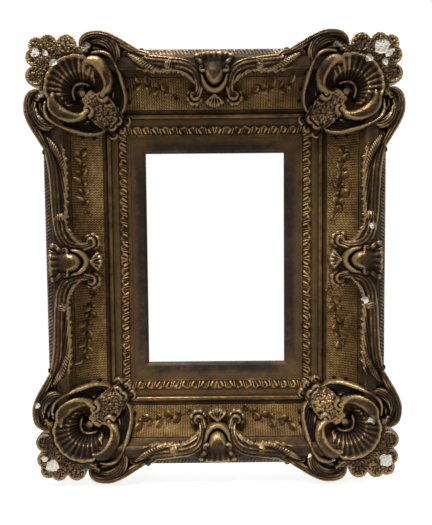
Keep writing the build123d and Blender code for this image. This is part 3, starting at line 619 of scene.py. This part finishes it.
def lay_casting(name, plot, heights, place, turned, fields, material):
    """Closed piece between a casting's heights and its bed; place carries plot places to X and Z."""
    bed_floor = np.where(plot.outside, plot.edge_floor, plot.ground - casting_sunk)
    floor = np.minimum(bed_floor, heights - least_thickness)
    keep = heights > np.where(plot.outside, plot.edge_floor + 1.0, plot.ground + least_rise)
    cell = keep[:-1, :-1] & keep[1:, :-1] & keep[:-1, 1:] & keep[1:, 1:]
    used = np.zeros(keep.shape, bool)
    for di in (0, 1):
        for dj in (0, 1):
            used[di:di + cell.shape[0], dj:dj + cell.shape[1]] |= cell
    number = np.cumsum(used.ravel()).reshape(used.shape) - 1
    count = int(used.sum())
    X, Z = place(plot.A[used], plot.B[used])
    chipped = chip_mask(X, Z)
    worn = blurred(np.maximum(heights, floor), 3)[used] - chip_least
    broken = np.clip(worn, heights[used] - chip_depth, heights[used])
    top = np.stack([X, -np.where(chipped > 0.5, broken, heights[used]), Z], 1)
    bottom = np.stack([X, -(floor[used] - casting_thickness), Z], 1)
    ring = np.stack([number[:-1, :-1], number[1:, :-1], number[1:, 1:], number[:-1, 1:]], -1)
    upper = ring[cell]
    padded = np.pad(cell, 1)
    walls = []
    for di, dj, p, q in ((0, -1, 0, 1), (1, 0, 1, 2), (0, 1, 2, 3), (-1, 0, 3, 0)):
        beside = padded[1 + di:1 + di + cell.shape[0], 1 + dj:1 + dj + cell.shape[1]]
        rim_edge = ring[cell & ~beside]
        first, second = rim_edge[:, p], rim_edge[:, q]
        walls.append(np.stack([second, first, first + count, second + count], 1))
    faces = np.vstack([upper, upper[:, ::-1] + count] + walls)
    kept = {key: values[used] for key, values in fields.items()}
    kept["chip"] = chipped
    # The painted highlights on the upper crescents are added to the hollow field.
    kept["hollow"] = kept["hollow"] + highlight_gain * painted_highlights(X, Z)
    return closed_mesh(name, np.vstack([top, bottom]), faces, turned, kept, material)


def relief_fields(all_heights):
    """How far each place stands above its near and its wider surroundings."""
    # The wider relief is painted shade: broad hollows come out darker and raised forms lighter.
    wide = all_heights - blurred(all_heights, 9) + 0.6 * (all_heights - blurred(all_heights, 24))
    return {"recess": all_heights - blurred(all_heights, 3), "hollow": np.clip(wide, *hollow_range)}


def on_arm(way, points):
    """Curve as drawn on a corner's first arm, or mirrored on to its second."""
    return [(p[1], p[0]) + tuple(p[2:]) for p in points] if way else points


def arm_curl(way, heights, centre, radius, height, start, hand, width):
    """Volute as drawn on a corner's first arm, or mirrored on to its second."""
    if way:
        centre, start, hand = centre[::-1], (90 - start) % 360, -hand
    curl(corner, heights, centre, radius, height, start, hand, width)


corner_edge, corner_floor = 127.5, 70.0
corner = Plot((-24, -24), (150, 150))
corner.bed(moulding_width - np.minimum(corner.A, corner.B), corner_edge, corner_floor)

# The corner shell is the first casting to be glued over the mitre: a deep fluted bowl that opens
# towards the outer corner, with a small button at its hub and a bead that curls round the button.
bowl_centre = (50, 53)
bowl_spread = 112
bowl_reach = np.hypot(corner.A - bowl_centre[0], corner.B - bowl_centre[1])
bowl_angle = np.arctan2(bowl_centre[1] - corner.B, bowl_centre[0] - corner.A)
bowl_swing = np.abs((np.degrees(bowl_angle) - 45 + 180) % 360 - 180)
bowl_edge = np.interp(bowl_swing, [0, 58, 72, 90, bowl_spread], [42, 41, 36, 27, 16])
bowl_edge = bowl_edge + 1.2 * np.abs(np.cos(bowl_angle * 8.5))
bowl = np.interp(bowl_reach, [0, 7, 12, 18, 23, 30, 36, 40, 42, 43],
                 [70, 66, 67, 76, 83.5, 86, 87.5, 91, 91.5, 90])
flutes = np.cos(bowl_angle * 27)
flute_depth = 0.85 * np.interp(bowl_reach, [8, 14, 36, 41], [0, 1, 1, 0.3])
bowl = bowl + flute_depth * np.sign(flutes) * np.abs(flutes) ** 0.6
bowl = bowl - np.interp(bowl_swing, [62, 108], [0, 15])
inside_bowl = (bowl_swing < bowl_spread) & (bowl_reach < bowl_edge)
shell = np.where(inside_bowl, np.maximum(bowl, corner.ground + 0.8), no_casting)
button(corner, shell, (52, 55), 5.0, 67, 0.5)
rod(corner, shell, [(41, 62, 68, 1.4), (39.5, 53, 69, 2.0), (43, 45, 69.5, 2.3), (51, 42, 69, 2.0),
                    (60, 44, 68, 1.4)], rise=0.8)

# The corner rim, of the same paste, is glued on round the shell: pebbled rocaille lobes, each a
# shallow cup with a thin raised edge, and a pebbled web that fills in between them.
pebbles = grain(corner, 3.0, 11)
web = (corner.A > 0) & (corner.B > 0) & (corner.A + corner.B < 66) & (bowl_reach > 38)
rim = np.where(web, 85.5 + 1.4 * pebbles, no_casting)
for place, radius in [((37, -3), 12.6), ((14, -4), 11.6), ((0, -1), 11.5), ((-4, 13), 11.6),
                      ((-4, 36), 12.6), ((20, 11), 11.0), ((11, 21), 11.0)]:
    d = np.hypot(corner.A - place[0], corner.B - place[1]) / radius
    raised_edge = 1.5 * np.exp(-((d - 0.90) / 0.06) ** 2)
    cup = 86.0 - 0.6 * (1 - d ** 2) + raised_edge + 1.9 * pebbles * (d < 0.86)
    cup = np.where(d > 0.93, cup - 30 * (d - 0.93), cup)
    np.copyto(rim, np.maximum(rim, cup), where=d < 1)
rim[(bowl_reach < bowl_edge - 2) & (bowl_swing < bowl_spread)] = no_casting

# The corner scrolls are a pair of leafy C-scrolls, glued on where they flank the shell and stand
# out past the straight edges. Each has a reeded back, a curled eye, an inner leaf, and a lobed
# web that joins the run on the ridge.
scrolls = corner.blank()
for way in (0, 1):
    back = [(61, 5, 82, 2.4), (56, 1, 83, 3.0), (55.5, -6, 84, 3.6), (61, -12, 85, 4.4),
            (71, -14.6, 85.5, 5.0), (84, -13.6, 85.5, 5.4), (97, -8.5, 84.5, 5.4),
            (110, -1.5, 83, 5.0), (124, 5.5, 80, 4.2)]
    rod(corner, scrolls, on_arm(way, back), rise=0.85, reeds=3, reed_depth=0.8)
    arm_curl(way, scrolls, (62, -2.5), 5.6, 83, 200, 1, 2.2)
    body = [(66, -6, 80, 6.5), (78, -6, 81, 8.5), (92, -2, 81, 9.5), (106, 4, 80, 8.5), (120, 9, 79, 6.0)]
    flange(corner, scrolls, on_arm(way, body), 2.0, 2.0, ribs=3.6, rib_depth=1.0, hollow=1.0)
    tongue = [(68, -7, 83, 3.0), (79, -7.5, 86, 5.2), (90, -3.5, 87.5, 6.4), (97, 4, 87.5, 6.4),
              (99.5, 12, 86, 5.0), (98.5, 18, 84, 3.0)]
    flange(corner, scrolls, on_arm(way, tongue), 0.5, 1.5, ribs=3.2, rib_depth=0.7, hollow=-2.6)
    foot = [(86, 8, 79, 4.0), (100, 11, 80, 5.5), (114, 13, 80, 5.5), (128, 14, 79, 3.0)]
    flange(corner, scrolls, on_arm(way, foot), 0.5, 0.5, ribs=2.6, rib_depth=0.7, hollow=-2.5, lobes=7.0)

# The corner leaf is glued on inside the shell. At each hand a broad smooth crescent ends in a
# volute, with a long C and its beads outside it. Between them lies a wide pebbled cartouche whose
# curled tips point at the sight.
middle = (corner.A + corner.B) / 2
off_line = np.abs(corner.A - corner.B) / math.sqrt(2)
cartouche_width = np.interp(middle, [56, 62, 70, 80, 90], [8, 14, 19, 18, 12]) + 1.6 * np.sin(middle * 0.9)
cartouche = np.interp(middle, [56, 64, 76, 88], [72, 70, 64, 55]) + 1.7 * grain(corner, 3.0, 5)
cartouche = cartouche - 5.0 * np.clip(off_line / cartouche_width, 0, 1) ** 4
on_cartouche = (off_line < cartouche_width) & (middle > 57) & (middle < 91)
leaf = np.where(on_cartouche, cartouche, no_casting)
for way in (0, 1):
    long_c = [(69, 8, 85, 2.0), (80, 7.5, 87, 2.6), (91, 12, 87, 3.2), (99, 25, 82, 3.4),
              (103.5, 41, 72, 3.4), (106, 57, 61, 3.2), (104, 70, 54, 2.8), (98, 80, 49, 2.2)]
    rod(corner, leaf, on_arm(way, long_c), rise=0.7, reeds=1, reed_depth=0.9)
    for bead, size in (((104, 33), 3.4), ((108, 48), 3.6), ((109.5, 62), 3.2), ((99, 16), 3.0)):
        bead_height = float(moulding_height(moulding_width - min(bead))) + 1.5
        button(corner, leaf, on_arm(way, [bead])[0], size, bead_height)
    inner_leaf = [(78, 15, 82, 5.0), (89, 20, 81, 6.5), (95, 32, 75, 7.5), (97, 46, 66, 8.0),
                  (96, 60, 57, 8.5), (91, 72, 51, 7.0)]
    flange(corner, leaf, on_arm(way, inner_leaf), 1.5, 1.5, ribs=3.4, rib_depth=1.0, hollow=0.6, lobes=8.0)
    crescent = [(60, 19, 87, 3.4), (67, 17.5, 88.5, 5.8), (76, 20, 88.5, 7.6), (83.5, 29, 86, 7.8),
                (86.5, 40, 80, 6.6), (84.5, 49, 74, 5.0), (79, 55, 70, 3.6)]
    flange(corner, leaf, on_arm(way, crescent), 1.5, -2.5, hollow=-2.6)
    arm_curl(way, leaf, (77, 58), 7.2, 68, 20, 1, 2.9)
    throat = [(83, 62, 62, 3.5), (89, 70, 58, 5.5), (94, 79, 53, 6.5), (100, 88, 47, 5.0),
              (107, 93, 43, 3.0)]
    flange(corner, leaf, on_arm(way, throat), 2.0, 1.0, ribs=4.0, rib_depth=0.9, hollow=-1.6, lobes=6.0)
    collar = [(107, 60, 54, 2.0), (101, 68, 52, 3.0), (98, 77, 50, 3.4), (101, 86, 47, 3.2),
              (108, 90, 44, 2.4)]
    rod(corner, leaf, on_arm(way, collar), rise=0.8, reeds=1, reed_depth=0.5)
    arm_curl(way, leaf, (105, 88), 6.4, 44.5, 250, 1, 2.6)
    arm_curl(way, leaf, (94, 86), 6.0, 51, 110, -1, 2.8)
curl(corner, leaf, (98, 99), 6.6, 43.5, 225, 1, 2.9)

# Each corner is laid from the one mould, mirrored to suit its place. The paste is a little lumpy
# under its gilding, and more gold is left on the cartouche, the shell and its rim.
level_past_corner = 79.0
cartouche_gain, shell_gain, rim_gain = 13, 5, 11
corner_castings = {"corner_shell": shell, "corner_rim": rim, "corner_scrolls": scrolls, "corner_leaf": leaf}
lump = grain(corner, 9.0, 21) * 0.4 + grain(corner, 4.2, 8) * 0.5
around_corner = np.where(corner.ground > 0, corner.ground, level_past_corner)
# Their wider relief gives painted shade in the corner's broad hollows, such as the bowl.
corner_fields = relief_fields(np.maximum.reduce([around_corner] + list(corner_castings.values())))
cartouche_gold = cartouche_gain * blurred(on_cartouche.astype(float), 3)
corner_fields["hollow"] += cartouche_gold + shell_gain * (shell > 0) + rim_gain * (rim > 0)
for high, sign_z in (("top", 1), ("bottom", -1)):
    for wide, sign_x in (("left", -1), ("right", 1)):
        def corner_place(a, b):
            return (sign_x * (half_sight[0] + moulding_width - a),
                    sign_z * (half_sight[1] + moulding_width - b))
        for kind, heights in corner_castings.items():
            piece = lay_casting(f"{kind}_{high}_{wide}", corner, heights - lump, corner_place,
                                sign_x * sign_z < 0, corner_fields, cast_gilding)
            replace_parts(piece, f"{kind}_{high}_{wide}")

# Two castings are glued on in the middle of each side, pressed and gilded like the corners. Their
# places run along the side and outwards from the sight edge. The boss is a smooth bell with a
# rounded nose, fluted at its outer edge, with a button and a small horn curl at either hand.
side_floor = 68.0
level_past_side = 76.0


def side_fields(plot, *castings):
    """Relief of castings on a side, as though their level went on past the outer edge."""
    around = np.maximum(plot.ground, level_past_side * (plot.B > 100))
    return relief_fields(np.maximum.reduce([around, *castings]))


middle_plot = Plot((-68, 46), (68, 126))
middle_plot.bed(middle_plot.B, moulding_width, side_floor)
beside, outward = middle_plot.A, middle_plot.B
bell_width = np.interp(outward, [81, 82, 85, 90, 98, 110, 118, 122],
                       [0.1, 4.5, 8.5, 11.0, 12.0, 13.5, 16.5, 18.0])
across = beside / bell_width
bell = np.interp(outward, [81, 84, 90, 97, 108, 117, 120, 122.5], [78, 81, 83, 83, 82, 85.0, 84.5, 80])
bell_rise = np.interp(outward, [81, 88, 96, 122], [3, 9, 9, 3])
bell = bell + bell_rise * np.sqrt(np.clip(1 - across ** 2, 0, 1))
bell = bell + 0.9 * np.cos(across * math.pi * 4.0) * np.interp(outward, [103, 114], [0, 1])
bell_end = 121.5 - 1.4 * np.abs(np.sin(across * math.pi * 2.0))
boss = np.where((np.abs(across) < 1) & (outward > 81) & (outward < bell_end), bell, no_casting)
for hand in (-1, 1):
    button(middle_plot, boss, (hand * 21.5, 115), 4.6, 82)
    horn_leaf = [(hand * 12, 104, 82, 2.4), (hand * 16.5, 107, 84, 3.8), (hand * 21, 111, 83, 3.6)]
    rod(middle_plot, boss, horn_leaf)
    curl(middle_plot, boss, (hand * 15.5, 100.5), 5.0, 84, 90 + hand * 40, hand, 2.4)

# The centre shell is the second casting of the middle: a small fluted shell in the cove, a narrow
# collar that holds the bell's nose, and a reeded S-scroll at either hand that curls in among round
# lobes and sends a leaf out along the ridge.
petal_centre = 72
petal_swing = np.arctan2(beside, petal_centre - outward)
petal_reach = np.hypot(beside, petal_centre - outward)
petal_edge = 16 + 1.2 * np.abs(np.cos(petal_swing * 8))
petals = np.interp(petal_reach, [0, 8, 14, 18, 20], [71, 68, 66, 64, 60])
petals = petals + 1.2 * np.cos(petal_swing * 16) * (petal_reach > 4)
centre = np.where((np.abs(petal_swing) < 1.0) & (petal_reach < petal_edge), petals, no_casting)
nose_collar = [(-15.5, 92, 81, 1.6), (-13.5, 84, 80, 2.8), (-8.0, 77.5, 77, 3.2), (0, 75, 75, 3.4),
               (8.0, 77.5, 77, 3.2), (13.5, 84, 80, 2.8), (15.5, 92, 81, 1.6)]
rod(middle_plot, centre, nose_collar)
for hand in (-1, 1):
    ridge_leaf = [(hand * 22, 84, 72, 4.0), (hand * 30, 93, 79, 6.0), (hand * 42, 100, 82, 6.5),
                  (hand * 56, 104, 82, 6.0)]
    flange(middle_plot, centre, ridge_leaf, 0.5, 0.5, ribs=2.8, rib_depth=0.8, hollow=-2.0, lobes=6.5)
    s_scroll = [(hand * 28, 66, 56, 3.4), (hand * 21, 73, 64, 5.2), (hand * 19.5, 86, 74, 6.2),
                (hand * 25, 98, 81, 6.8), (hand * 38, 105, 83, 7.4), (hand * 54, 107.5, 83, 7.2)]
    rod(middle_plot, centre, s_scroll, rise=0.85, reeds=3, reed_depth=0.8)
    for k in range(5):
        lean = math.radians(-160 + 50 * k)
        lobe_place = (hand * (26 + 8.0 * math.cos(lean)), 70 + 8.0 * math.sin(lean))
        button(middle_plot, centre, lobe_place, 4.8, 56 - 1.2 * math.sin(-lean), 0.9)
    curl(middle_plot, centre, (hand * 26, 71.5), 6.4, 62, 90 + hand * 60, hand, 3.4)
    end_band = [(hand * 52, 98, 80, 3.0), (hand * 57, 105, 83, 8.0), (hand * 63, 113, 80, 3.0)]
    rod(middle_plot, centre, end_band, twist=3.6, twist_depth=0.9)
centre = centre - np.where(centre > middle_plot.ground, 0.5 * grain(middle_plot, 3.6, 3), 0)

middle_fields = side_fields(middle_plot, boss, centre)
for side in sides:
    carry, turned = side_carrier(side)
    for name, heights in (("centre_boss_" + side, boss), ("centre_shell_" + side, centre)):
        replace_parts(lay_casting(name, middle_plot, heights, carry, turned, middle_fields, cast_gilding), name)

# Swept runs lie on the ridge from each corner to the middle of each side, pressed from the same
# paste and glued on. Each is a band of reeds that widens into a lobed leaf where it meets the
# corner, with small berries along its inner edge.
run_plot = Plot((40, 90), (164, 131))
run_plot.bed(run_plot.B, moulding_width, side_floor)
corner_take_over = 120


def swept_run(far):
    """Heights of one run; far is where the corner scroll takes over, from the middle of the side."""
    run = run_plot.blank()
    lobed_leaf = [(46, 103, 81.5, 7.5), (0.5 * far + 22, 104, 82, 10.0), (far - 20, 107, 82, 12.5),
                  (far - 2, 113, 81, 12.0), (far + 8, 118, 80, 7.0)]
    flange(run_plot, run, lobed_leaf, 0.5, 0.5, ribs=3.2, rib_depth=0.9, hollow=-2.2, lobes=9.0)
    reeded_band = [(47, 107.5, 82, 6.6), (60, 109, 83, 6.8), (0.55 * far + 28, 111.5, 83, 7.0),
                   (far - 16, 116, 81.5, 6.8), (far - 3, 121, 78, 5.6), (far + 6, 123.5, 76, 4.0)]
    rod(run_plot, run, reeded_band, rise=0.7, reeds=3, reed_depth=0.7)
    twisted_stem = [(far - 44, 99.5, 80, 1.2), (far - 30, 101, 82, 3.4), (far - 16, 105, 84, 4.4),
                    (far - 4, 111, 85, 4.2), (far + 5, 117, 83, 2.4)]
    rod(run_plot, run, twisted_stem, twist=3.6, twist_depth=0.7)
    curl(run_plot, run, (far - 10, 123), 5.0, 77, 300, -1, 2.0)
    for k in range(6):
        button(run_plot, run, (62 + (far - 100) * k / 5, 98.5 + 0.5 * k), 2.6 + 0.4 * (k % 2), 81)
    return run


def half_sides():
    """Each half of each side: the side, the side its end meets, and 1 or -1 for its hand."""
    for side in sides:
        ends = ("bottom", "top") if side in ("left", "right") else ("left", "right")
        for hand, other in zip((-1, 1), ends):
            yield side, other, hand


for side, other, hand in half_sides():
    half = half_sight[1 if side in ("left", "right") else 0]
    run = swept_run(half + moulding_width - corner_take_over)
    carry, turned = side_carrier(side, hand)
    name = f"sweep_{side}_{other}"
    run_fields = side_fields(run_plot, run)
    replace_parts(lay_casting(name, run_plot, run, carry, turned, run_fields, cast_gilding), name)

# Leafy sprays, pressed from the same paste, are glued into the cove beside each run: a thin bent
# stem with pointed leaves in pairs, a long one across from a short one, and a small flower at its
# root. They are gilded like the runs.
spray_gilding = gilding("spray_gilding", 0.34, run_tones, 0.30, 0.0, 0.5)
leaf_spacing, stem_bend = 11, 2.4
long_leaf, short_leaf = 13.0, 7.5
flower_reach, flower_turn = 3.4, 1.257
spray_plot = Plot((36, 52), (150, 100), 0.6)
spray_plot.bed(spray_plot.B, moulding_width, side_floor)


def sprig(root, tip, seed):
    """Heights of one spray from a root to a tip, each (along, outwards)."""
    rng = np.random.default_rng(seed)
    spray = spray_plot.blank()

    def lay(place, lift, half_width):
        return tuple(place) + (float(moulding_height(place[1])) + lift, half_width)
    run = np.array(tip, float) - np.array(root, float)
    length = float(np.linalg.norm(run))
    run /= length
    cross = np.array([-run[1], run[0]])
    count = max(4, int(length / leaf_spacing))
    stem = [np.array(root) + run * length * k / count + cross * stem_bend * math.sin(5 * k / count)
            for k in range(count + 1)]
    rod(spray_plot, spray, [lay(p, 0.6, 1.6) for p in stem], rise=0.9)
    for k, place in enumerate(stem[1:]):
        for hand in (-1, 1):
            reach = (long_leaf if (k + (hand > 0)) % 2 else short_leaf) + 3.0 * rng.random()
            lean_out = hand * (0.45 + 0.6 * rng.random())
            way = run * math.cos(lean_out) + cross * math.sin(lean_out)
            start, half, end = place - run * 2, place + way * reach * 0.5, place + way * reach
            blade = [lay(start, 0.2, 0.9), lay(half, 0.9, 0.32 * reach + 0.8), lay(end, 0.2, 0.6)]
            rod(spray_plot, spray, blade, rise=0.8, reeds=1, reed_depth=-0.5)
    for k in range(5):
        turned = k * flower_turn
        spot = np.array(root) + flower_reach * np.array([math.cos(turned), math.sin(turned)])
        button(spray_plot, spray, spot, 2.5, float(moulding_height(spot[1])) + 0.2)
    return spray


spray_ends = {("top", "left"): ((51, 71), (95, 90)), ("top", "right"): ((40, 70), (96, 88)),
              ("bottom", "left"): ((38, 64), (102, 79)), ("bottom", "right"): ((38, 60), (96, 81)),
              ("left", "top"): ((64, 76), (138, 86)), ("left", "bottom"): ((46, 72), (128, 86)),
              ("right", "top"): ((52, 63), (140, 80)), ("right", "bottom"): ((42, 59), (112, 76))}
for side, other, hand in half_sides():
    name = f"spray_{side}_{other}"
    spray = sprig(*spray_ends[side, other], 7 + len(name) + 3 * hand)
    carry, turned = side_carrier(side, hand)
    spray_fields = side_fields(spray_plot, spray)
    piece = lay_casting(name, spray_plot, spray, carry, turned, spray_fields, spray_gilding)
    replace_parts(piece, "cove_sprays")

# Two brass plates are screwed to the back of the upright rails, and a steel ring swings in the
# knuckle of each. Cord or wire for hanging ties to the rings.
brass_tones = [(0.3, (0.230, 0.150, 0.055)), (0.7, (0.450, 0.320, 0.140))]
steel_tones = [(0.3, (0.210, 0.195, 0.180)), (0.7, (0.430, 0.420, 0.400))]
brass, tree, paint = finish("dull_brass", 0.42, 0.85)
tree.links.new(steps(tree, spots(tree, 160, 6), brass_tones), paint.inputs["Base Color"])
dent(tree, paint, spots(tree, 900, 3, 0.6, (1, 1, 0.1)), 0.2, 0.0002)
steel, tree, paint = finish("ring_steel", 0.35, 0.9)
tree.links.new(steps(tree, spots(tree, 240, 6), steel_tones), paint.inputs["Base Color"])
dent(tree, paint, spots(tree, 1100, 3), 0.2, 0.0002)
dress("hanger_plates", brass)
dress("hanger_screws", steel)
dress("ring_left", steel)
dress("ring_right", steel)

# The frame stands before a white ground on a plain pale floor that fades out round it. Four soft
# square lamps light it: the strongest from high on the left, two weak ones from the front, and one
# from behind for its back.
floor_half = 0.7
floor_gap = 0.001
white = (1, 1, 1, 1)


def seen_rays(tree):
    """1 for what the camera sees, straight or by way of a shiny or clear surface."""
    ray = tree.nodes.new("ShaderNodeLightPath")
    bent = shade(tree, "MAXIMUM", ray.outputs["Is Glossy Ray"], ray.outputs["Is Transmission Ray"])
    return shade(tree, "MAXIMUM", ray.outputs["Is Camera Ray"], bent)


floor_paint, tree, paint = finish("pale_floor", 0.9)
paint.inputs["Base Color"].default_value = (0.8, 0.8, 0.8, 1)
paint.inputs["Emission Color"].default_value = white
tree.links.new(shade(tree, "MULTIPLY", seen_rays(tree), 0.80), paint.inputs["Emission Strength"])
place = place_on(tree)
squares = [shade(tree, "POWER", place[axis], 2.0) for axis in "XY"]
far_off = shade(tree, "SQRT", shade(tree, "ADD", *squares))
clear = tree.nodes.new("ShaderNodeBsdfTransparent")
faded = tree.nodes.new("ShaderNodeMixShader")
tree.links.new(steps(tree, far_off, [(0.30, 0.0), (0.62, 1.0)]), faded.inputs[0])
tree.links.new(paint.outputs[0], faded.inputs[1])
tree.links.new(clear.outputs[0], faded.inputs[2])
tree.links.new(faded.outputs[0], tree.nodes["Material Output"].inputs["Surface"])
floor_mesh = bpy.data.meshes.new("floor")
floor_level = cad_box[0][2] - floor_gap
floor_corners = [(x * floor_half, y * floor_half, floor_level)
                 for x, y in ((-1, -1), (1, -1), (1, 1), (-1, 1))]
floor_mesh.from_pydata(floor_corners, [], [(0, 1, 2, 3)])
floor_mesh.materials.append(floor_paint)
floor_piece = bpy.data.objects.new("floor", floor_mesh)
bpy.context.scene.collection.objects.link(floor_piece)


def lamp(name, place, size, power):
    """Soft square lamp that points at the middle of the frame."""
    data = bpy.data.lights.new(name, "AREA")
    data.shape = "SQUARE"
    data.size = size
    data.energy = power
    made = bpy.data.objects.new(name, data)
    bpy.context.scene.collection.objects.link(made)
    aim = Vector(place).to_track_quat("Z", "Y").to_matrix().to_4x4()
    made.matrix_world = Matrix.Translation(place) @ aim


lamp("key_lamp", (-0.32, -0.45, 1.60), 0.75, 58)
lamp("fill_lamp", (0.9, -1.4, 0.2), 1.2, 2.0)
lamp("left_lamp", (-1.3, -0.9, 0.4), 0.9, 2.6)
lamp("back_lamp", (0.5, 1.5, 0.9), 1.2, 22)

world = bpy.data.worlds.new("studio")
bpy.context.scene.world = world
world.use_nodes = True
tree = world.node_tree
background = tree.nodes["Background"]
background.inputs["Color"].default_value = white
tree.links.new(shade(tree, "MULTIPLY_ADD", seen_rays(tree), 0.89, 0.11), background.inputs["Strength"])
bpy.context.scene.view_settings.view_transform = "Standard"

# The camera stands 87 cm in front of the frame and a little above its middle, and has the small
# tilts of the photograph.
camera_place = (-0.003, -0.870, 0.050)
tilt_down, turn, lean = math.radians(3.75), math.radians(0.22), math.radians(0.53)
camera_data = bpy.data.cameras.new("camera")
camera_data.lens = 41.8
camera = bpy.data.objects.new("camera", camera_data)
bpy.context.scene.collection.objects.link(camera)
bpy.context.scene.camera = camera
level_view = Matrix(((1, 0, 0, 0), (0, 0, -1, 0), (0, 1, 0, 0), (0, 0, 0, 1)))
tilts = Matrix.Rotation(lean, 4, "Z") @ Matrix.Rotation(turn, 4, "Y") @ Matrix.Rotation(tilt_down, 4, "X")
camera.matrix_world = Matrix.Translation(camera_place) @ level_view @ tilts.transposed()
